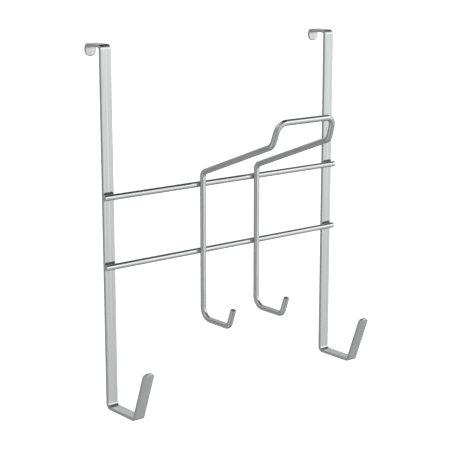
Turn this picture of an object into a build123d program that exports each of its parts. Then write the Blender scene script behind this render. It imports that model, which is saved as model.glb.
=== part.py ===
from build123d import *
import math
import os

# Over-door hanger for an ironing board and an iron, welded from flat steel bar and round steel wire.
# Millimetres. The origin is the door's top front edge, midway between the two straps:
# Z = 0 is the top of the door, Y = 0 its front face, +X to the right and -Y out into the room.

# Flat bar of the two straps
strap_width = 13.0
strap_thickness = 3.2
strap_rim_chamfer = 0.6
strap_pitch = 308.0

# Over-door hook at the top of each strap
door_gap = 23.0
tab_drop = 10.5
tab_end_flat = 0.5
bridge_inner_radius = 2.2

# Board hook at the foot of each strap
shelf_drop = 378.0
shelf_depth = 44.5
shelf_root_radius = 3.0
shelf_nose_radius = 1.2
board_arm_height = 52.5
board_arm_lean = 20.0
board_tip_crown = 2.8
board_tip_corner = 1.5

# Two round rods welded across the fronts of the straps
rod_diameter = 6.35
rod_overhang = 1.6
rod_end_chamfer = 0.6
upper_rod_drop = 152.5
rod_spacing = 73.5
rod_weld_depth = 0.3

# Iron rest: one bent round wire, welded in front of both rods
wire_diameter = 6.35
wire_weld_depth = 0.4
leg_pitch = 76.0
leg_above_rod = 13.5
leg_below_rod = 75.2
leg_top_radius = 6.5
leg_foot_radius = 12.0
cord_hook_depth = 44.0
cord_hook_height = 20.2
cord_hook_lean = 20.0
cord_hook_radius = 7.0
arm_reach = 113.5
arm_slope = 20.4
arm_splay = 1.0
arm_end_radius = 11.0
rise_height = 24.0
rise_lean = 18.0
bar_pitch = 74.4
bar_corner_radius = 10.5

# Places that follow from the sizes above
half_thickness = strap_thickness / 2
half_legs = leg_pitch / 2
strap_front_y = -strap_thickness
rod_y = strap_front_y - rod_diameter / 2 + rod_weld_depth
rod_length = strap_pitch + strap_width + 2 * rod_overhang
upper_rod_z = -upper_rod_drop
lower_rod_z = upper_rod_z - rod_spacing
leg_y = rod_y - rod_diameter / 2 - wire_diameter / 2 + wire_weld_depth

os.makedirs("parts", exist_ok=True)


def lean_out(rise, degrees):
    """How far a run that leans by that many degrees comes out into the room while it climbs by rise."""
    return rise * math.tan(math.radians(degrees))


# Straps: one bent bar each, over the door, down its front face and out into the board hook.
# The middle line of the bar is drawn in the strap's own upright plane, as (Y, Z) points.
tab_y = door_gap + half_thickness
strap_y = -half_thickness
shelf_z = -shelf_drop - half_thickness
nose_y = strap_front_y - shelf_depth - half_thickness
board_tip_rise = board_arm_height + half_thickness
board_tip_y = nose_y - lean_out(board_tip_rise, board_arm_lean)
board_tip_radius = (strap_width**2 / 4 + board_tip_crown**2) / (2 * board_tip_crown)

for strap_name, strap_x in (("left_strap", -strap_pitch / 2), ("right_strap", strap_pitch / 2)):
    with BuildPart() as strap:
        with BuildLine(Plane.YZ.offset(strap_x)) as bends:
            FilletPolyline(
                (tab_y, -tab_drop),
                (tab_y, half_thickness),
                (strap_y, half_thickness),
                (strap_y, shelf_z),
                (nose_y, shelf_z),
                (board_tip_y, shelf_z + board_tip_rise),
                radius=[
                    bridge_inner_radius + half_thickness,
                    bridge_inner_radius + half_thickness,
                    shelf_root_radius + half_thickness,
                    shelf_nose_radius + half_thickness,
                ],
            )
        tab_tip = bends.line @ 0
        board_tip = bends.line @ 1
        arm_direction = bends.line % 1
        with BuildSketch(Plane(tab_tip, x_dir=(1, 0, 0), z_dir=bends.line % 0)):
            Rectangle(strap_width, strap_thickness)
        sweep()

        # The rear tab ends in a full round
        tab_end = strap.faces().sort_by_distance(tab_tip)[0]
        fillet(tab_end.edges().filter_by(Axis.Y), radius=(strap_width - tab_end_flat) / 2)

        # The board arm ends in a shallow arc with eased corners
        with BuildSketch(Plane(board_tip, x_dir=(1, 0, 0), z_dir=Vector(1, 0, 0).cross(arm_direction))):
            Rectangle(2 * strap_width, 2 * board_tip_crown)
            with Locations((0, -board_tip_radius)):
                Circle(board_tip_radius, mode=Mode.SUBTRACT)
        extrude(amount=strap_thickness, both=True, mode=Mode.SUBTRACT)
        arm_end = strap.faces().sort_by_distance(board_tip)[0]
        fillet(arm_end.edges().filter_by(GeomType.LINE), radius=board_tip_corner)

        # The show side's rim is eased all the way round; the side that was sheared last stays square
        long_edges = strap.edges().filter_by(Axis.Z).sort_by(SortBy.LENGTH)[-4:]
        chamfer(long_edges.sort_by(Axis.Y)[:2], length=strap_rim_chamfer)
    strap.part.label = strap_name
    export_step(strap.part, f"parts/{strap_name}.step")

# Rods: straight wire with eased ends, flattened on the strap fronts and notched where the legs are welded on
for rod_name, rod_z in (("upper_rod", upper_rod_z), ("lower_rod", lower_rod_z)):
    with BuildPart() as rod:
        with BuildSketch(Plane.YZ.offset(-rod_length / 2)):
            with Locations((rod_y, rod_z)):
                Circle(rod_diameter / 2)
        extrude(amount=rod_length)
        chamfer(rod.edges().filter_by(GeomType.CIRCLE), length=rod_end_chamfer)
        with Locations((-strap_pitch / 2, strap_y, rod_z), (strap_pitch / 2, strap_y, rod_z)):
            Box(strap_width, strap_thickness, 2 * rod_diameter, mode=Mode.SUBTRACT)
        with Locations((-half_legs, leg_y, rod_z), (half_legs, leg_y, rod_z)):
            Cylinder(wire_diameter / 2, 2 * rod_diameter, mode=Mode.SUBTRACT)
    rod.part.label = rod_name
    export_step(rod.part, f"parts/{rod_name}.step")

# Iron rest: the corners of its right side, from the cord hook's tip, up the leg and along the arm to the bar.
# The arms open a little towards the iron's tip and the rises lean back in to a shorter bar.
foot_z = lower_rod_z - leg_below_rod
hook_y = leg_y - cord_hook_depth
hook_tip_y = hook_y - lean_out(cord_hook_height, cord_hook_lean)
leg_top_z = upper_rod_z + leg_above_rod
arm_end_y = leg_y - arm_reach
arm_end_z = leg_top_z + arm_reach * math.tan(math.radians(arm_slope))
bar_y = arm_end_y - lean_out(rise_height, rise_lean)
bar_z = arm_end_z + rise_height
half_arms = half_legs + arm_splay
side_corners = [
    (half_legs, hook_tip_y, foot_z + cord_hook_height),
    (half_legs, hook_y, foot_z),
    (half_legs, leg_y, foot_z),
    (half_legs, leg_y, leg_top_z),
    (half_arms, arm_end_y, arm_end_z),
    (bar_pitch / 2, bar_y, bar_z),
]
side_radii = [cord_hook_radius, leg_foot_radius, leg_top_radius, arm_end_radius, bar_corner_radius]

with BuildPart() as iron_rest:
    with BuildLine() as wire:
        FilletPolyline(
            *[(-x, y, z) for x, y, z in side_corners],
            *reversed(side_corners),
            radius=side_radii + side_radii[::-1],
        )
    with BuildSketch(Plane(wire.line @ 0, x_dir=(1, 0, 0), z_dir=wire.line % 0)):
        Circle(wire_diameter / 2)
    sweep()
iron_rest.part.label = "iron_rest"
export_step(iron_rest.part, "parts/iron_rest.step")
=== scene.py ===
import logging
import math
from dataclasses import dataclass, field
from enum import Enum

import bpy
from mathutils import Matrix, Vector


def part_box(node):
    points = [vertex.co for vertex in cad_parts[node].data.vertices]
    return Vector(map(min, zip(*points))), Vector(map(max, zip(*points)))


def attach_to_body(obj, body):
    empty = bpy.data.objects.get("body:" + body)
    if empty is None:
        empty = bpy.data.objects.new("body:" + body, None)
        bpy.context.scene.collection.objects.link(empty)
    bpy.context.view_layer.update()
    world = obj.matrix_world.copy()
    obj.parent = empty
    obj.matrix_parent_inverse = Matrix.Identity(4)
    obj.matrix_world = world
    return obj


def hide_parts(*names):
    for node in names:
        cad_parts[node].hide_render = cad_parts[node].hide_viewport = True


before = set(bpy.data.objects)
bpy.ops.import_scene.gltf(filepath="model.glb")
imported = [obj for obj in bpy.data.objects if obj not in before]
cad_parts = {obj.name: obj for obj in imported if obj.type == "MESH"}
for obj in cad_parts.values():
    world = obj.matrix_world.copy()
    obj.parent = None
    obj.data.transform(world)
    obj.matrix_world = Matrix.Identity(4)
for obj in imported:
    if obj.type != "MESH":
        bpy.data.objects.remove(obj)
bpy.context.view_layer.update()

MM = 0.001
BODY = "root"
QUARTER_TURN = 90.0
HALF_TURN = 180.0
NOISE_MIDDLE = 0.5
WHITE = (1.0, 1.0, 1.0, 1.0)
LOG = logging.getLogger("hanger")


class Section(Enum):
    """Stock section that a piece is bent from."""

    FLAT_BAR = "flat bar"
    ROUND_WIRE = "round wire"


class Slot(Enum):
    """Material slots of the record."""

    STRAP_BAR = "strap_bar"
    ROUND_WIRE = "round_wire"


@dataclass(frozen=True)
class Station:
    """One point of a bar's middle line, with the bend and the size of the section there.

    Attributes:
        place: Where the point is.
        bend: Radius of the bend at it, or zero where there is none.
        across: Share of the section's width that is left.
        deep: Share of the section's thickness that is left.
        inset: How far both edges are moved in, with their rims as wide as before.
    """

    place: Vector
    bend: float = 0.0
    across: float = 1.0
    deep: float = 1.0
    inset: float = 0.0


def linear(hex_colour: str) -> tuple[float, float, float, float]:
    """Turn an sRGB hex value into linear light.

    Args:
        hex_colour: Colour as #RRGGBB.

    Returns:
        Linear red, green, blue and an alpha of one.
    """
    channels = [int(hex_colour[i : i + 2], 16) / 255 for i in (1, 3, 5)]
    light = [c / 12.92 if c <= 0.04045 else ((c + 0.055) / 1.055) ** 2.4 for c in channels]
    return (*light, 1.0)


def add_node(
    tree: bpy.types.NodeTree, kind: str, inputs: dict[str, object] | None = None, **settings: object
) -> bpy.types.Node:
    """Add a node with its settings, its constants and its links.

    Args:
        tree: Node tree that gets the node.
        kind: Blender's name for the type of node.
        inputs: A constant or an output socket for each input that is set, by the input's identifier.
        settings: Properties of the node itself.

    Returns:
        The new node.
    """
    node = tree.nodes.new(kind)
    for name, value in settings.items():
        setattr(node, name, value)
    sockets = {socket.identifier: socket for socket in node.inputs}
    for name, value in (inputs or {}).items():
        if isinstance(value, bpy.types.NodeSocket):
            tree.links.new(value, sockets[name])
        else:
            sockets[name].default_value = value
    return node


def out(node: bpy.types.Node, identifier: str) -> bpy.types.NodeSocket:
    """The output of a node that has that identifier."""
    return next(socket for socket in node.outputs if socket.identifier == identifier)


@dataclass(frozen=True)
class SatinNickel:
    """Satin nickel plate over steel stock, with lines that follow the bar through its bends.

    Attributes:
        name: Name of the material.
        light: Colour of the plate beside the lines.
        dark: Colour of the plate in the lines.
        roughness: Roughness beside the lines and in them.
        line_mm: Width of a line.
        run_mm: Length of a line.
        relief_mm: Depth of a line.
        detail: Octaves of the noise that draws the lines.
        falloff: Strength of each octave against the one before it.
        contrast: Noise values at which the colour is all dark and all light.
    """

    name: str
    light: str
    dark: str
    roughness: tuple[float, float]
    line_mm: float
    run_mm: float
    relief_mm: float
    detail: float = 3.0
    falloff: float = 0.6
    contrast: tuple[float, float] = (0.3, 0.7)

    def material(self) -> bpy.types.Material:
        """Make the material.

        Returns:
            The material.
        """
        material = bpy.data.materials.new(self.name)
        material.use_nodes = True
        tree = material.node_tree
        shader = tree.nodes["Principled BSDF"]
        section = add_node(tree, "ShaderNodeAttribute", attribute_name="section")
        along = add_node(tree, "ShaderNodeAttribute", attribute_name="along")
        lines = 1 / (self.line_mm * MM)
        runs = 1 / (self.run_mm * MM)
        spread = add_node(
            tree,
            "ShaderNodeVectorMath",
            {"Vector": section.outputs["Vector"], "Vector_001": (lines, lines, 0.0)},
            operation="MULTIPLY",
        )
        travel = add_node(
            tree, "ShaderNodeMath", {"Value": along.outputs["Fac"], "Value_001": runs}, operation="MULTIPLY"
        )
        length = add_node(tree, "ShaderNodeCombineXYZ", {"Z": travel.outputs["Value"]})
        place = add_node(
            tree,
            "ShaderNodeVectorMath",
            {"Vector": spread.outputs["Vector"], "Vector_001": length.outputs["Vector"]},
            operation="ADD",
        )
        noise = add_node(
            tree,
            "ShaderNodeTexNoise",
            {
                "Vector": place.outputs["Vector"],
                "Scale": 1.0,
                "Detail": self.detail,
                "Roughness": self.falloff,
            },
            noise_dimensions="3D",
        )
        all_dark, all_light = self.contrast
        streak = add_node(
            tree,
            "ShaderNodeMapRange",
            {"Value": noise.outputs["Fac"], "From Min": all_dark, "From Max": all_light},
        )
        colour = add_node(
            tree,
            "ShaderNodeMix",
            {
                "Factor_Float": streak.outputs["Result"],
                "A_Color": linear(self.dark),
                "B_Color": linear(self.light),
            },
            data_type="RGBA",
        )
        beside, inside = self.roughness
        sheen = add_node(
            tree,
            "ShaderNodeMapRange",
            {"Value": streak.outputs["Result"], "To Min": inside, "To Max": beside},
        )
        relief = add_node(
            tree,
            "ShaderNodeBump",
            {"Strength": 1.0, "Distance": self.relief_mm * MM, "Height": noise.outputs["Fac"]},
        )
        tree.links.new(out(colour, "Result_Color"), shader.inputs["Base Color"])
        tree.links.new(sheen.outputs["Result"], shader.inputs["Roughness"])
        tree.links.new(relief.outputs["Normal"], shader.inputs["Normal"])
        shader.inputs["Metallic"].default_value = 1.0
        return material


@dataclass(frozen=True)
class SatinNickelFlatBar(SatinNickel):
    """Satin nickel plate over mild-steel flat bar that was brushed along its length."""

    # Brushing leaves fine lines down the bar, so its faces hold a soft, even sheen with faint long streaks
    name: str = "satin nickel plate on brushed flat bar"
    light: str = "#D9DADA"
    dark: str = "#B9BBBC"
    roughness: tuple[float, float] = (0.22, 0.30)
    # A brush line is about 0.1 mm wide; it is drawn at 1.4 mm, as coarse as it needs to be to show
    line_mm: float = 1.4
    run_mm: float = 320.0
    relief_mm: float = 0.012


@dataclass(frozen=True)
class SatinNickelWire(SatinNickel):
    """Satin nickel plate over drawn mild-steel wire."""

    # Drawing polishes the wire and leaves die lines along it, so highlights run as clear bands down it
    name: str = "satin nickel plate on drawn wire"
    light: str = "#D3D4D4"
    dark: str = "#C3C5C6"
    roughness: tuple[float, float] = (0.13, 0.19)
    # A die line is about 0.05 mm wide; it is drawn at 0.7 mm, as coarse as it needs to be to show
    line_mm: float = 0.7
    run_mm: float = 60.0
    relief_mm: float = 0.006


@dataclass(frozen=True)
class WeldFlashAndPaintedShade:
    """Weld flash under the plating, the rough, dull rim of a resistance weld, darkened further with painted
    contact shade.
    """

    # The squeezed-out metal stays rough under the plate, so it looks darker and matt beside the satin
    # steel; the dark colour also holds painted contact shade and a painted reflection of the rods' dark
    # tops
    light: str = "#74797B"
    dark: str = "#2C3032"
    roughness: float = 0.5
    grain_mm: float = 0.9
    grain_detail: float = 4.0
    relief_mm: float = 0.15
    relief_strength: float = 0.8

    def material(self) -> bpy.types.Material:
        """Make the material.

        Returns:
            The material.
        """
        material = bpy.data.materials.new("weld flash with painted contact shade")
        material.use_nodes = True
        tree = material.node_tree
        shader = tree.nodes["Principled BSDF"]
        place = add_node(tree, "ShaderNodeTexCoord")
        grain = add_node(
            tree,
            "ShaderNodeTexNoise",
            {
                "Vector": place.outputs["Object"],
                "Scale": 1 / (self.grain_mm * MM),
                "Detail": self.grain_detail,
            },
        )
        colour = add_node(
            tree,
            "ShaderNodeMix",
            {
                "Factor_Float": grain.outputs["Fac"],
                "A_Color": linear(self.dark),
                "B_Color": linear(self.light),
            },
            data_type="RGBA",
        )
        relief = add_node(
            tree,
            "ShaderNodeBump",
            {
                "Strength": self.relief_strength,
                "Distance": self.relief_mm * MM,
                "Height": grain.outputs["Fac"],
            },
        )
        tree.links.new(out(colour, "Result_Color"), shader.inputs["Base Color"])
        tree.links.new(relief.outputs["Normal"], shader.inputs["Normal"])
        shader.inputs["Metallic"].default_value = 1.0
        shader.inputs["Roughness"].default_value = self.roughness
        return material


class NodePiece:
    """A Geometry Nodes tree with named inputs, and the plain meshes that it makes."""

    def __init__(self, name: str) -> None:
        """Start an empty tree.

        Args:
            name: Name of the tree.
        """
        self.tree = bpy.data.node_groups.new(name, "GeometryNodeTree")
        self.identifiers: dict[str, str] = {}
        self.declare("Path", "NodeSocketGeometry")
        self.tree.interface.new_socket("Piece", in_out="OUTPUT", socket_type="NodeSocketGeometry")
        self.given = add_node(self.tree, "NodeGroupInput")

    def declare(self, name: str, kind: str) -> None:
        """Add a named input of that kind to the tree."""
        socket = self.tree.interface.new_socket(name, in_out="INPUT", socket_type=kind)
        self.identifiers[name] = socket.identifier

    def end(self, geometry: bpy.types.NodeSocket) -> None:
        """Close the tree: shade smooth, realise the instances and set the material.

        Args:
            geometry: The finished geometry.
        """
        smooth = add_node(self.tree, "GeometryNodeSetShadeSmooth", {"Geometry": geometry})
        real = add_node(self.tree, "GeometryNodeRealizeInstances", {"Geometry": smooth.outputs[0]})
        dressed = add_node(
            self.tree,
            "GeometryNodeSetMaterial",
            {"Geometry": real.outputs[0], "Material": self.given.outputs["Material"]},
        )
        last = add_node(self.tree, "NodeGroupOutput")
        self.tree.links.new(dressed.outputs[0], last.inputs[0])

    def make(
        self,
        name: str,
        points: list[Vector],
        chained: bool,
        fields: dict[str, list[float] | list[Vector]],
        sizes: dict[str, object],
    ) -> bpy.types.Object:
        """Run the tree on a list of points and keep the result as a plain mesh.

        Args:
            name: Name of the piece.
            points: Points that the tree works on.
            chained: True where each point is joined to the next one.
            fields: A number or a vector for each point, by the attribute's name.
            sizes: A value for each of the tree's inputs, by the input's name.

        Returns:
            The piece, at the origin, with no modifier left on it.
        """
        edges = [(i, i + 1) for i in range(len(points) - 1)] if chained else []
        path = bpy.data.meshes.new(f"{name}_path")
        path.from_pydata(points, edges, [])
        for field_name, values in fields.items():
            vector = isinstance(values[0], Vector)
            attribute = path.attributes.new(field_name, "FLOAT_VECTOR" if vector else "FLOAT", "POINT")
            for item, value in zip(attribute.data, values):
                if vector:
                    item.vector = value
                else:
                    item.value = value
        piece = bpy.data.objects.new(name, path)
        bpy.context.scene.collection.objects.link(piece)
        modifier = piece.modifiers.new("shape", "NODES")
        modifier.node_group = self.tree
        for input_name, value in sizes.items():
            modifier[self.identifiers[input_name]] = value
        # Broad faces keep their own normals, so that only the rims and bends turn the light
        piece.modifiers.new("flat faces", "WEIGHTED_NORMAL")
        evaluated = piece.evaluated_get(bpy.context.evaluated_depsgraph_get())
        mesh = bpy.data.meshes.new_from_object(evaluated)
        mesh.name = name
        piece.modifiers.clear()
        piece.data = mesh
        bpy.data.meshes.remove(path)
        return piece


class BentStock(NodePiece):
    """Sweeps a stock section along a bent middle line."""

    def __init__(self, section: Section) -> None:
        """Build the tree.

        Args:
            section: Section that is swept.
        """
        super().__init__(f"bent {section.value}")
        tree = self.tree
        for size in ("Width", "Thickness", "Show Rim", "Back Rim"):
            self.declare(size, "NodeSocketFloat")
        self.declare("Steps", "NodeSocketInt")
        self.declare("Material", "NodeSocketMaterial")
        given = self.given.outputs
        bend = self.attribute("bend")
        bends = add_node(
            tree, "ShaderNodeMath", {"Value": bend, "Value_001": 0.0}, operation="GREATER_THAN"
        )
        count = add_node(
            tree,
            "ShaderNodeMath",
            {"Value": bends.outputs["Value"], "Value_001": given["Steps"]},
            operation="MULTIPLY",
        )
        line = add_node(tree, "GeometryNodeMeshToCurve", {"Mesh": given["Path"]})
        bent = add_node(
            tree,
            "GeometryNodeFilletCurve",
            {"Curve": line.outputs["Curve"], "Count": count.outputs["Value"], "Radius": bend},
            mode="POLY",
        )
        travel = add_node(tree, "GeometryNodeSplineParameter")
        position = add_node(tree, "GeometryNodeInputPosition").outputs["Position"]
        measured = self.store(bent.outputs["Curve"], "along", "FLOAT", travel.outputs["Length"])
        middle = self.store(measured, "spine", "FLOAT_VECTOR", position)
        if section is Section.FLAT_BAR:
            # A flat bar's width stays level through its bends
            level = add_node(
                tree,
                "GeometryNodeSetCurveNormal",
                {"Curve": middle, "Normal": (1.0, 0.0, 0.0)},
                mode="FREE",
            )
            middle = level.outputs["Curve"]
            profile = self.flat_profile()
        else:
            profile = self.round_profile()
        swept = add_node(
            tree,
            "GeometryNodeCurveToMesh",
            {
                "Curve": middle,
                "Profile Curve": self.store(profile, "section", "FLOAT_VECTOR", position),
                "Fill Caps": True,
            },
        )
        self.end(self.shape_ends(swept.outputs["Mesh"], position))

    def attribute(self, name: str, kind: str = "FLOAT") -> bpy.types.NodeSocket:
        """The value of a named attribute."""
        node = add_node(self.tree, "GeometryNodeInputNamedAttribute", {"Name": name}, data_type=kind)
        return node.outputs["Attribute"]

    def store(
        self, geometry: bpy.types.NodeSocket, name: str, kind: str, value: bpy.types.NodeSocket
    ) -> bpy.types.NodeSocket:
        """Keep a value on the points of a curve.

        Args:
            geometry: The curve.
            name: Name of the attribute.
            kind: Type of the attribute.
            value: Value that is kept.

        Returns:
            The curve with the attribute.
        """
        node = add_node(
            self.tree,
            "GeometryNodeStoreNamedAttribute",
            {"Geometry": geometry, "Name": name, "Value": value},
            data_type=kind,
            domain="POINT",
        )
        return node.outputs["Geometry"]

    def flat_profile(self) -> bpy.types.NodeSocket:
        """Rectangle with one rim radius on the show side and another on the back.

        Returns:
            The closed profile.
        """
        given = self.given.outputs
        flat = add_node(
            self.tree,
            "GeometryNodeCurvePrimitiveQuadrilateral",
            {"Width": given["Width"], "Height": given["Thickness"]},
            mode="RECTANGLE",
        )
        position = add_node(self.tree, "GeometryNodeInputPosition")
        side = add_node(self.tree, "ShaderNodeSeparateXYZ", {"Vector": position.outputs["Position"]})
        show = add_node(
            self.tree,
            "ShaderNodeMath",
            {"Value": side.outputs["Y"], "Value_001": 0.0},
            operation="GREATER_THAN",
        )
        rim = add_node(
            self.tree,
            "ShaderNodeMapRange",
            {"Value": show.outputs["Value"], "To Min": given["Back Rim"], "To Max": given["Show Rim"]},
        )
        eased = add_node(
            self.tree,
            "GeometryNodeFilletCurve",
            {"Curve": flat.outputs["Curve"], "Count": given["Steps"], "Radius": rim.outputs["Result"]},
            mode="POLY",
        )
        return eased.outputs["Curve"]

    def round_profile(self) -> bpy.types.NodeSocket:
        """Circle of the wire's width.

        Returns:
            The closed profile.
        """
        radius = add_node(
            self.tree,
            "ShaderNodeMath",
            {"Value": self.given.outputs["Width"], "Value_001": 0.5},
            operation="MULTIPLY",
        )
        quarters = 4.0
        sides = add_node(
            self.tree,
            "ShaderNodeMath",
            {"Value": self.given.outputs["Steps"], "Value_001": quarters},
            operation="MULTIPLY",
        )
        circle = add_node(
            self.tree,
            "GeometryNodeCurvePrimitiveCircle",
            {"Resolution": sides.outputs["Value"], "Radius": radius.outputs["Value"]},
            mode="RADIUS",
        )
        return circle.outputs["Curve"]

    def shape_ends(
        self, mesh: bpy.types.NodeSocket, position: bpy.types.NodeSocket
    ) -> bpy.types.NodeSocket:
        """Draw the section in towards the middle line where the stations say so.

        Args:
            mesh: The swept bar.
            position: Where each of its points is.

        Returns:
            The bar with its ends shaped.
        """
        tree = self.tree
        spine = self.attribute("spine", "FLOAT_VECTOR")
        deep = self.attribute("deep")
        across = self.attribute("across")
        share = add_node(tree, "ShaderNodeCombineXYZ", {"X": across, "Y": deep, "Z": deep})
        away = add_node(
            tree, "ShaderNodeVectorMath", {"Vector": position, "Vector_001": spine}, operation="SUBTRACT"
        )
        # An inset moves both edges in and leaves their rims as wide as they are
        inset = add_node(tree, "ShaderNodeCombineXYZ", {"X": self.attribute("inset")})
        edge = add_node(tree, "ShaderNodeVectorMath", {"Vector": away.outputs["Vector"]}, operation="SIGN")
        lost = add_node(
            tree,
            "ShaderNodeVectorMath",
            {"Vector": edge.outputs["Vector"], "Vector_001": inset.outputs["Vector"]},
            operation="MULTIPLY",
        )
        left = add_node(
            tree,
            "ShaderNodeVectorMath",
            {"Vector": away.outputs["Vector"], "Vector_001": lost.outputs["Vector"]},
            operation="SUBTRACT",
        )
        drawn = add_node(
            tree,
            "ShaderNodeVectorMath",
            {"Vector": left.outputs["Vector"], "Vector_001": share.outputs["Vector"], "Vector_002": spine},
            operation="MULTIPLY_ADD",
        )
        shaped = add_node(
            tree, "GeometryNodeSetPosition", {"Geometry": mesh, "Position": drawn.outputs["Vector"]}
        )
        return shaped.outputs["Geometry"]

    def bend(
        self, name: str, stations: list[Station], sizes: dict[str, object], material: bpy.types.Material
    ) -> bpy.types.Object:
        """Bend one piece.

        Args:
            name: Name of the piece.
            stations: The middle line from end to end.
            sizes: Sizes of the section, by the tree's input.
            material: Finish of the piece.

        Returns:
            The piece.
        """
        fields = {
            "bend": [station.bend for station in stations],
            "across": [station.across for station in stations],
            "deep": [station.deep for station in stations],
            "inset": [station.inset for station in stations],
        }
        points = [station.place for station in stations]
        return self.make(name, points, True, fields, {**sizes, "Material": material})


class WeldFlash(NodePiece):
    """Sets a lump of weld flash on each point, uneven as squeezed-out metal is; the lumps' dark finish also
    holds painted contact shade.
    """

    LUMP_SUBDIVISIONS: int = 4
    NOISE_DETAIL: float = 2.0

    def __init__(self) -> None:
        """Build the tree."""
        super().__init__("weld flash")
        tree = self.tree
        for size in ("Unevenness", "Grain"):
            self.declare(size, "NodeSocketFloat")
        self.declare("Seed", "NodeSocketInt")
        self.declare("Material", "NodeSocketMaterial")
        given = self.given.outputs
        points = add_node(tree, "GeometryNodeMeshToPoints", {"Mesh": given["Path"]})
        lump = add_node(
            tree, "GeometryNodeMeshIcoSphere", {"Radius": 1.0, "Subdivisions": self.LUMP_SUBDIVISIONS}
        )
        size = add_node(
            tree, "GeometryNodeInputNamedAttribute", {"Name": "lump"}, data_type="FLOAT_VECTOR"
        )
        lumps = add_node(
            tree,
            "GeometryNodeInstanceOnPoints",
            {
                "Points": points.outputs["Points"],
                "Instance": lump.outputs["Mesh"],
                "Scale": size.outputs["Attribute"],
            },
        )
        real = add_node(tree, "GeometryNodeRealizeInstances", {"Geometry": lumps.outputs["Instances"]})
        scale = add_node(
            tree, "ShaderNodeMath", {"Value": 1.0, "Value_001": given["Grain"]}, operation="DIVIDE"
        )
        noise = add_node(
            tree,
            "ShaderNodeTexNoise",
            {"W": given["Seed"], "Scale": scale.outputs["Value"], "Detail": self.NOISE_DETAIL},
            noise_dimensions="4D",
        )
        # Noise runs from 0 to 1, so it is centred before it moves the surface out and in
        swell = add_node(
            tree,
            "ShaderNodeMath",
            {"Value": noise.outputs["Fac"], "Value_001": NOISE_MIDDLE},
            operation="SUBTRACT",
        )
        reach = add_node(
            tree,
            "ShaderNodeMath",
            {"Value": swell.outputs["Value"], "Value_001": given["Unevenness"]},
            operation="MULTIPLY",
        )
        normal = add_node(tree, "GeometryNodeInputNormal")
        offset = add_node(
            tree,
            "ShaderNodeVectorMath",
            {"Vector": normal.outputs["Normal"], "Scale": reach.outputs["Value"]},
            operation="SCALE",
        )
        uneven = add_node(
            tree,
            "GeometryNodeSetPosition",
            {"Geometry": real.outputs["Geometry"], "Offset": offset.outputs["Vector"]},
        )
        self.end(uneven.outputs["Geometry"])


def eased_end(radius: float, ease: float, steps: int) -> list[tuple[float, float]]:
    """Work out how a round end closes in.

    Args:
        radius: Radius of the bar.
        ease: Radius of the rounding on the end's rim.
        steps: Number of steps along the rounding.

    Returns:
        Distance from the end, and the share of the radius there, from the end inwards.
    """
    turns = [math.pi / 2 * i / steps for i in range(steps + 1)]
    return [(ease * (1 - math.cos(t)), (radius - ease + ease * math.sin(t)) / radius) for t in turns]


def towards(start: Vector, end: Vector, distance: float) -> Vector:
    """The point at that distance from start on the way to end."""
    return start + (end - start).normalized() * distance


def lean_out(rise: float, degrees: float) -> float:
    """How far a run that leans by that many degrees comes out while it climbs by rise."""
    return rise * math.tan(math.radians(degrees))


def attach(piece: bpy.types.Object, node: str | None = None) -> None:
    """Hang a finished piece on the frame.

    Args:
        piece: The finished piece.
        node: Node that it stands for, where there is one.
    """
    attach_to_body(piece, BODY)
    if node is not None:
        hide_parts(node)


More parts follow.
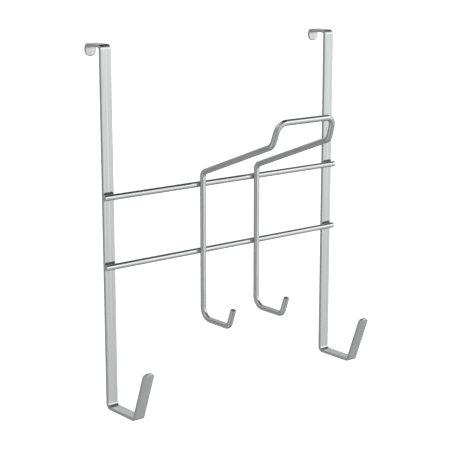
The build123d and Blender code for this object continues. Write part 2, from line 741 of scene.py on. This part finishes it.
@dataclass
class Strap:
    """One flat bar, bent over the door, down its face and out into the board hook."""

    node: str
    tab_drop: float = 10.5 * MM
    tab_end_flat: float = 0.5 * MM
    bridge_bend: float = 3.8 * MM
    shelf_depth: float = 44.5 * MM
    shelf_root_bend: float = 4.6 * MM
    shelf_nose_bend: float = 2.8 * MM
    board_arm_height: float = 52.5 * MM
    board_arm_lean: float = 20.0
    board_tip_crown: float = 2.8 * MM
    board_tip_corner: float = 1.5 * MM
    show_rim: float = 0.7 * MM
    back_rim: float = 0.3 * MM
    end_ease: float = 1.4 * MM
    # Half the width where an end's outline starts: just enough for the rims on both edges
    end_start: float = 0.8 * MM
    steps: int = 8

    def __post_init__(self) -> None:
        """Read the bar's section and its main places from the frame."""
        low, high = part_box(self.node)
        self.middle = (low.x + high.x) / 2
        self.width = high.x - low.x
        # The bridge lies on the door's top, at Z = 0
        self.thickness = high.z
        self.tab_y = high.y - self.thickness / 2
        self.shelf_z = low.z + self.thickness / 2

    def end_depth(self, distance: float) -> float:
        """Work out how thick the bar is near an end whose rim is eased.

        Args:
            distance: Distance from the end.

        Returns:
            The share of the bar's thickness there.
        """
        inside = max(self.end_ease - distance, 0.0)
        half = self.thickness / 2
        return (half - self.end_ease + math.sqrt(self.end_ease**2 - inside**2)) / half

    def tab_outline(self) -> list[tuple[float, float]]:
        """Full round at the tab's end.

        Returns:
            Distance from the end and half the width there, from the end inwards.
        """
        flat = self.tab_end_flat / 2
        radius = self.width / 2 - flat
        first = math.asin((self.end_start - flat) / radius)
        turns = [first + (math.pi / 2 - first) * i / self.steps for i in range(self.steps + 1)]
        return [(radius * (1 - math.cos(t)), flat + radius * math.sin(t)) for t in turns]

    def tip_outline(self) -> list[tuple[float, float]]:
        """Shallow arc at the board arm's end, with eased corners.

        Returns:
            Distance from the end and half the width there, from the end inwards.
        """
        half = self.width / 2
        radius = (half**2 + self.board_tip_crown**2) / (2 * self.board_tip_crown)
        corner = self.board_tip_corner
        reach = math.asin((half - corner) / (radius - corner))
        corner_centre = radius - (radius - corner) * math.cos(reach)
        first = math.asin(self.end_start / radius)
        crown = [first + (reach - first) * i / self.steps for i in range(self.steps + 1)]
        rest = [reach + (math.pi / 2 - reach) * i / self.steps for i in range(1, self.steps + 1)]
        outline = [(radius * (1 - math.cos(t)), radius * math.sin(t)) for t in crown]
        return outline + [
            (corner_centre - corner * math.cos(t), half - corner + corner * math.sin(t)) for t in rest
        ]

    def end_stations(
        self, end: Vector, inner: Vector, outline: list[tuple[float, float]]
    ) -> list[Station]:
        """Stations of a shaped end.

        Args:
            end: Tip of the middle line.
            inner: Next corner of the middle line.
            outline: Distance from the end and half the width there.

        Returns:
            The stations from the tip inwards.
        """
        half = self.width / 2
        return [
            Station(towards(end, inner, s), deep=self.end_depth(s), inset=half - w) for s, w in outline
        ]

    def middle_line(self) -> list[Station]:
        """The bar's middle line, from the rear tab to the tip of the board arm.

        Returns:
            The stations.
        """
        half = self.thickness / 2
        nose_y = -self.thickness - self.shelf_depth - half
        rise = self.board_arm_height + half
        tab_end = Vector((self.middle, self.tab_y, -self.tab_drop))
        corners = [
            Station(Vector((self.middle, self.tab_y, half)), self.bridge_bend),
            Station(Vector((self.middle, -half, half)), self.bridge_bend),
            Station(Vector((self.middle, -half, self.shelf_z)), self.shelf_root_bend),
            Station(Vector((self.middle, nose_y, self.shelf_z)), self.shelf_nose_bend),
        ]
        tip_y = nose_y - lean_out(rise, self.board_arm_lean)
        board_tip = Vector((self.middle, tip_y, self.shelf_z + rise))
        tab = self.end_stations(tab_end, corners[0].place, self.tab_outline())
        tip = self.end_stations(board_tip, corners[-1].place, self.tip_outline())
        return tab + corners + tip[::-1]

    def build(self, stock: BentStock, material: bpy.types.Material) -> bpy.types.Object:
        """Bend the bar, dress it and hang it on the frame.

        Args:
            stock: Tree that sweeps flat bar.
            material: Finish of the bar.

        Returns:
            The bar.
        """
        sizes = {
            "Width": self.width,
            "Thickness": self.thickness,
            "Show Rim": self.show_rim,
            "Back Rim": self.back_rim,
            "Steps": self.steps,
        }
        piece = stock.bend(f"{self.node}_bar", self.middle_line(), sizes, material)
        attach(piece, self.node)
        return piece


@dataclass
class Rod:
    """One straight wire across the fronts of both straps."""

    node: str
    end_ease: float = 0.8 * MM
    steps: int = 12

    def __post_init__(self) -> None:
        """Read the rod's diameter, length and place from the frame."""
        low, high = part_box(self.node)
        self.diameter = high.z - low.z
        # The welds flatten the rod's back, so its axis is measured from the front
        axis_y = low.y + self.diameter / 2
        axis_z = (low.z + high.z) / 2
        self.left = Vector((low.x, axis_y, axis_z))
        self.right = Vector((high.x, axis_y, axis_z))

    def build(self, stock: BentStock, material: bpy.types.Material) -> bpy.types.Object:
        """Cut the rod, dress it and hang it on the frame.

        Args:
            stock: Tree that sweeps round wire.
            material: Finish of the rod.

        Returns:
            The rod.
        """
        end = eased_end(self.diameter / 2, self.end_ease, self.steps // 2)
        left = [Station(towards(self.left, self.right, s), across=r, deep=r) for s, r in end]
        right = [Station(towards(self.right, self.left, s), across=r, deep=r) for s, r in end]
        sizes = {"Width": self.diameter, "Steps": self.steps}
        piece = stock.bend(f"{self.node}_wire", left + right[::-1], sizes, material)
        attach(piece, self.node)
        return piece


@dataclass
class IronRest:
    """One bent wire: cord hooks at the foot, legs, arms for the iron and a raised bar."""

    node: str
    diameter: float = 6.35 * MM
    leg_foot_bend: float = 12.0 * MM
    leg_top_bend: float = 6.5 * MM
    leg_height: float = 162.2 * MM
    cord_hook_depth: float = 44.0 * MM
    cord_hook_height: float = 20.2 * MM
    cord_hook_lean: float = 20.0
    cord_hook_bend: float = 7.0 * MM
    leg_pitch: float = 76.0 * MM
    arm_reach: float = 113.5 * MM
    arm_slope: float = 20.4
    arm_splay: float = 1.0 * MM
    arm_end_bend: float = 11.0 * MM
    rise_height: float = 24.0 * MM
    rise_lean: float = 18.0
    bar_pitch: float = 74.4 * MM
    bar_corner_bend: float = 10.5 * MM
    end_ease: float = 0.5 * MM
    steps: int = 12

    def __post_init__(self) -> None:
        """Read the rest's outer places from the frame."""
        low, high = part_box(self.node)
        self.half_legs = self.leg_pitch / 2
        self.leg_y = high.y - self.diameter / 2
        self.foot_z = low.z + self.diameter / 2

    def side(self, hand: int) -> list[Station]:
        """One side of the rest, from the tip of its cord hook to its end of the bar.

        Args:
            hand: -1 for the left side, 1 for the right side.

        Returns:
            The stations.
        """
        x = hand * self.half_legs
        arm_x = hand * (self.half_legs + self.arm_splay)
        bar_x = hand * self.bar_pitch / 2
        hook_y = self.leg_y - self.cord_hook_depth
        tip_y = hook_y - lean_out(self.cord_hook_height, self.cord_hook_lean)
        leg_top = self.foot_z + self.leg_height
        arm_y = self.leg_y - self.arm_reach
        arm_z = leg_top + self.arm_reach * math.tan(math.radians(self.arm_slope))
        bar_y = arm_y - lean_out(self.rise_height, self.rise_lean)
        hook = Vector((x, hook_y, self.foot_z))
        tip = Vector((x, tip_y, self.foot_z + self.cord_hook_height))
        end = eased_end(self.diameter / 2, self.end_ease, self.steps // 2)
        return [Station(towards(tip, hook, s), across=r, deep=r) for s, r in end] + [
            Station(hook, self.cord_hook_bend),
            Station(Vector((x, self.leg_y, self.foot_z)), self.leg_foot_bend),
            Station(Vector((x, self.leg_y, leg_top)), self.leg_top_bend),
            Station(Vector((arm_x, arm_y, arm_z)), self.arm_end_bend),
            Station(Vector((bar_x, bar_y, arm_z + self.rise_height)), self.bar_corner_bend),
        ]

    def build(self, stock: BentStock, material: bpy.types.Material) -> bpy.types.Object:
        """Bend the wire, dress it and hang it on the frame.

        Args:
            stock: Tree that sweeps round wire.
            material: Finish of the wire.

        Returns:
            The wire.
        """
        stations = self.side(-1) + self.side(1)[::-1]
        sizes = {"Width": self.diameter, "Steps": self.steps}
        piece = stock.bend(f"{self.node}_wire", stations, sizes, material)
        attach(piece, self.node)
        return piece


@dataclass
class WeldsWithPaintedShade:
    """Weld flash where the rods cross the straps and where the legs cross the rods, dark with painted
    contact shade as well as the flash's own dull finish.
    """

    straps: list[Strap]
    rods: list[Rod]
    rest: IronRest
    strap_lump: Vector = field(default_factory=lambda: Vector((2.6, 0.9, 2.0)) * MM)
    strap_step: float = 3.6 * MM
    leg_lump: Vector = field(default_factory=lambda: Vector((2.3, 1.0, 2.3)) * MM)
    unevenness: float = 0.9 * MM
    grain: float = 2.2 * MM
    seed: int = 7

    def build(self, flash: WeldFlash, material: bpy.types.Material) -> bpy.types.Object:
        """Set the lumps, dress them and hang them on the frame.

        Args:
            flash: Tree that sets the lumps.
            material: Finish of the lumps.

        Returns:
            All the lumps, as one piece.
        """
        places: list[Vector] = []
        lumps: list[Vector] = []
        for rod in self.rods:
            for strap in self.straps:
                # The strap lumps sit on the rods' tops, so their dark finish is painted shade above each
                # rod as well as weld flash
                top = rod.left.z + rod.diameter / 2
                for step in (-1, 0, 1):
                    places.append(Vector((strap.middle + step * self.strap_step, -strap.thickness, top)))
                    lumps.append(self.strap_lump)
            # The leg lumps hold painted contact shade where the legs cross the rods, as well as weld flash
            for x in (-self.rest.half_legs, self.rest.half_legs):
                places.append(Vector((x, (rod.left.y + self.rest.leg_y) / 2, rod.left.z)))
                lumps.append(self.leg_lump)
        sizes = {
            "Unevenness": self.unevenness,
            "Grain": self.grain,
            "Seed": self.seed,
            "Material": material,
        }
        piece = flash.make("weld_flash_and_painted_shade", places, False, {"lump": lumps}, sizes)
        attach(piece)
        return piece


@dataclass(frozen=True)
class LightByAngle:
    """How bright the room is at each angle round the object, with straight runs between the steps.

    Attributes:
        span: Largest angle, in degrees; the smallest one is minus that.
        steps: Angles in degrees, each with the level of light there.
    """

    span: float
    steps: tuple[tuple[float, float], ...]

    def level(self, tree: bpy.types.NodeTree, angle: bpy.types.NodeSocket) -> bpy.types.NodeSocket:
        """Add the nodes that turn an angle into a level of light.

        Args:
            tree: Node tree of the room.
            angle: The angle in radians, from minus span to plus span degrees.

        Returns:
            The level at that angle.
        """
        peak = max(value for _, value in self.steps)
        reach = math.radians(self.span)
        share = add_node(
            tree, "ShaderNodeMapRange", {"Value": angle, "From Min": -reach, "From Max": reach}
        )
        ramp = add_node(tree, "ShaderNodeValToRGB", {"Fac": share.outputs["Result"]})
        stops = ramp.color_ramp.elements
        # New stops start half way along, and each then goes to its own angle
        while len(stops) < len(self.steps):
            stops.new(0.5)
        for stop, (degrees, value) in zip(stops, self.steps):
            stop.position = (degrees + self.span) / (2 * self.span)
            stop.color = (value / peak, value / peak, value / peak, 1.0)
        scaled = add_node(
            tree,
            "ShaderNodeMath",
            {"Value": ramp.outputs["Color"], "Value_001": peak},
            operation="MULTIPLY",
        )
        return scaled.outputs["Value"]


@dataclass(frozen=True)
class Softbox:
    """A soft light, or a lit wall, whose level goes by height above the horizon and by azimuth."""

    heights: LightByAngle
    turn: LightByAngle

    def add_to(
        self,
        tree: bpy.types.NodeTree,
        height: bpy.types.NodeSocket,
        azimuth: bpy.types.NodeSocket,
        level: bpy.types.NodeSocket | float,
    ) -> bpy.types.NodeSocket:
        """Add this light to the room.

        Args:
            tree: Node tree of the room.
            height: Angle above the horizon.
            azimuth: Angle round from the front.
            level: Light of the room so far.

        Returns:
            The light of the room with this one in it.
        """
        total = add_node(
            tree,
            "ShaderNodeMath",
            {
                "Value": self.heights.level(tree, height),
                "Value_001": self.turn.level(tree, azimuth),
                "Value_002": level,
            },
            operation="MULTIPLY_ADD",
        )
        return total.outputs["Value"]


@dataclass
class Studio:
    """Camera, floor and soft light: a softbox on the right, a low panel in front and a grey wall."""

    # Places in metres, angles in degrees, the lens and its sensor in millimetres
    camera_place: Vector = field(default_factory=lambda: Vector((-0.90114, -1.10564, 0.11514)))
    camera_turn: float = 39.48
    camera_tilt: float = 12.84
    lens_mm: float = 103.25
    sensor_mm: float = 36.0
    sight: float = 200.0
    floor_z: float = -0.63
    floor_reach: float = 60.0
    floor_white: str = "#F6F6F6"
    wash: float = 2.6
    wash_spread: float = 60.0
    # Big softbox on the right: brightest above the horizon, fading towards the floor, dark overhead
    right_softbox: Softbox = Softbox(
        heights=LightByAngle(
            QUARTER_TURN,
            (
                (-90.0, 0.40), (-60.0, 0.52), (-46.0, 0.66), (-36.0, 0.68), (-25.0, 0.72),
                (-15.0, 0.90), (-5.0, 1.22), (5.0, 1.42), (19.0, 1.76), (28.0, 1.70),
                (35.0, 0.85), (42.0, 0.20), (52.0, 0.11), (90.0, 0.09),
            ),
        ),
        turn=LightByAngle(
            HALF_TURN,
            (
                (-180.0, 0.0), (2.0, 0.0), (24.0, 1.0), (60.0, 1.0), (80.0, 0.56),
                (104.0, 0.37), (126.0, 0.37), (150.0, 0.47), (180.0, 0.0),
            ),
        ),
    )
    # Low panel in front: it lights what faces the room, and stays softer above the horizon
    front_panel: Softbox = Softbox(
        heights=LightByAngle(
            QUARTER_TURN,
            (
                (-90.0, 0.40), (-55.0, 0.45), (-38.0, 0.47), (-25.0, 0.65), (-15.0, 0.92),
                (-9.0, 0.98), (0.0, 0.80), (19.0, 0.75), (30.0, 0.60), (45.0, 0.15), (90.0, 0.09),
            ),
        ),
        turn=LightByAngle(
            HALF_TURN,
            ((-180.0, 0.0), (-32.0, 0.0), (-16.0, 1.22), (2.0, 1.12), (24.0, 0.0), (180.0, 0.0)),
        ),
    )
    # Plain grey wall on the left and behind: it shows where the others don't, and is paler higher up
    wall: Softbox = Softbox(
        heights=LightByAngle(
            QUARTER_TURN,
            (
                (-90.0, 1.0), (-42.0, 0.98), (-26.0, 1.18), (-17.0, 0.98), (-9.0, 0.90),
                (4.0, 0.86), (18.0, 0.88), (28.0, 1.12), (42.0, 1.75), (55.0, 1.2), (90.0, 0.8),
            ),
        ),
        turn=LightByAngle(
            HALF_TURN,
            (
                (-180.0, 0.52), (-165.0, 0.45), (-140.0, 0.40), (-110.0, 0.45), (-88.0, 0.84),
                (-64.0, 0.40), (-32.0, 0.36), (-16.0, 0.0), (150.0, 0.0), (180.0, 0.52),
            ),
        ),
    )

    def build(self) -> None:
        """Set up the camera, the floor and the light."""
        self.place_camera()
        self.lay_floor()
        self.light_room()
        bpy.context.scene.view_settings.view_transform = "Standard"

    def place_camera(self) -> None:
        """Put the camera at the photograph's viewing angle."""
        turn = math.radians(self.camera_turn)
        tilt = math.radians(self.camera_tilt)
        ahead = Vector(
            (math.sin(turn) * math.cos(tilt), math.cos(turn) * math.cos(tilt), -math.sin(tilt))
        )
        lens = bpy.data.cameras.new("camera")
        lens.sensor_width = self.sensor_mm
        lens.lens = self.lens_mm
        lens.clip_end = self.sight
        camera = bpy.data.objects.new("camera", lens)
        camera.location = self.camera_place
        camera.rotation_euler = ahead.to_track_quat("-Z", "Y").to_euler()
        bpy.context.scene.collection.objects.link(camera)
        bpy.context.scene.camera = camera

    def lay_floor(self) -> None:
        """Lay a pale floor that the steel doesn't mirror, and wash it with light from above."""
        reach = self.floor_reach
        corners = [(-reach, -reach), (reach, -reach), (reach, reach), (-reach, reach)]
        mesh = bpy.data.meshes.new("floor")
        mesh.from_pydata([(x, y, self.floor_z) for x, y in corners], [], [(0, 1, 2, 3)])
        floor = bpy.data.objects.new("floor", mesh)
        bpy.context.scene.collection.objects.link(floor)
        floor.visible_glossy = False
        material = bpy.data.materials.new("matt white floor")
        material.use_nodes = True
        shader = material.node_tree.nodes["Principled BSDF"]
        shader.inputs["Base Color"].default_value = linear(self.floor_white)
        shader.inputs["Roughness"].default_value = 1.0
        shader.inputs["Specular IOR Level"].default_value = 0.0
        mesh.materials.append(material)
        lamp = bpy.data.lights.new("floor wash", "SUN")
        lamp.energy = self.wash
        lamp.angle = math.radians(self.wash_spread)
        wash = bpy.data.objects.new("floor wash", lamp)
        wash.visible_glossy = False
        bpy.context.scene.collection.objects.link(wash)

    def light_room(self) -> None:
        """Make the soft light round the object, as the steel mirrors it."""
        world = bpy.data.worlds.new("studio")
        world.use_nodes = True
        bpy.context.scene.world = world
        tree = world.node_tree
        tree.nodes.clear()
        way = add_node(tree, "ShaderNodeTexCoord").outputs["Generated"]
        split = add_node(tree, "ShaderNodeSeparateXYZ", {"Vector": way})
        height = add_node(tree, "ShaderNodeMath", {"Value": split.outputs["Z"]}, operation="ARCSINE")
        out_front = add_node(
            tree, "ShaderNodeMath", {"Value": split.outputs["Y"], "Value_001": -1.0}, operation="MULTIPLY"
        )
        turn = add_node(
            tree,
            "ShaderNodeMath",
            {"Value": split.outputs["X"], "Value_001": out_front.outputs["Value"]},
            operation="ARCTAN2",
        )
        level: bpy.types.NodeSocket | float = 0.0
        for light in (self.right_softbox, self.front_panel, self.wall):
            level = light.add_to(tree, height.outputs["Value"], turn.outputs["Value"], level)
        mirrored = add_node(tree, "ShaderNodeBackground", {"Color": WHITE, "Strength": level})
        white = add_node(tree, "ShaderNodeBackground", {"Color": WHITE, "Strength": 1.0})
        path = add_node(tree, "ShaderNodeLightPath")
        seen = add_node(
            tree,
            "ShaderNodeMixShader",
            {
                "Fac": path.outputs["Is Camera Ray"],
                "Shader": mirrored.outputs["Background"],
                "Shader_001": white.outputs["Background"],
            },
        )
        add_node(tree, "ShaderNodeOutputWorld", {"Surface": seen.outputs["Shader"]})


def main() -> None:
    """Build the hanger and its set, and note the sizes."""
    logging.basicConfig(level=logging.INFO, format="%(message)s")
    flat_bar = BentStock(Section.FLAT_BAR)
    round_wire = BentStock(Section.ROUND_WIRE)
    bar_finish = SatinNickelFlatBar().material()
    wire_finish = SatinNickelWire().material()
    straps = [Strap("left_strap"), Strap("right_strap")]
    rods = [Rod("upper_rod"), Rod("lower_rod")]
    rest = IronRest("iron_rest")
    welds = WeldsWithPaintedShade(straps, rods, rest)
    pieces = [strap.build(flat_bar, bar_finish) for strap in straps]
    pieces += [rod.build(round_wire, wire_finish) for rod in rods]
    pieces.append(rest.build(round_wire, wire_finish))
    pieces.append(welds.build(WeldFlash(), WeldFlashAndPaintedShade().material()))
    for piece in pieces:
        LOG.info("%s: %d faces", piece.name, len(piece.data.polygons))
    Studio().build()


if __name__ == "__main__":
    main()
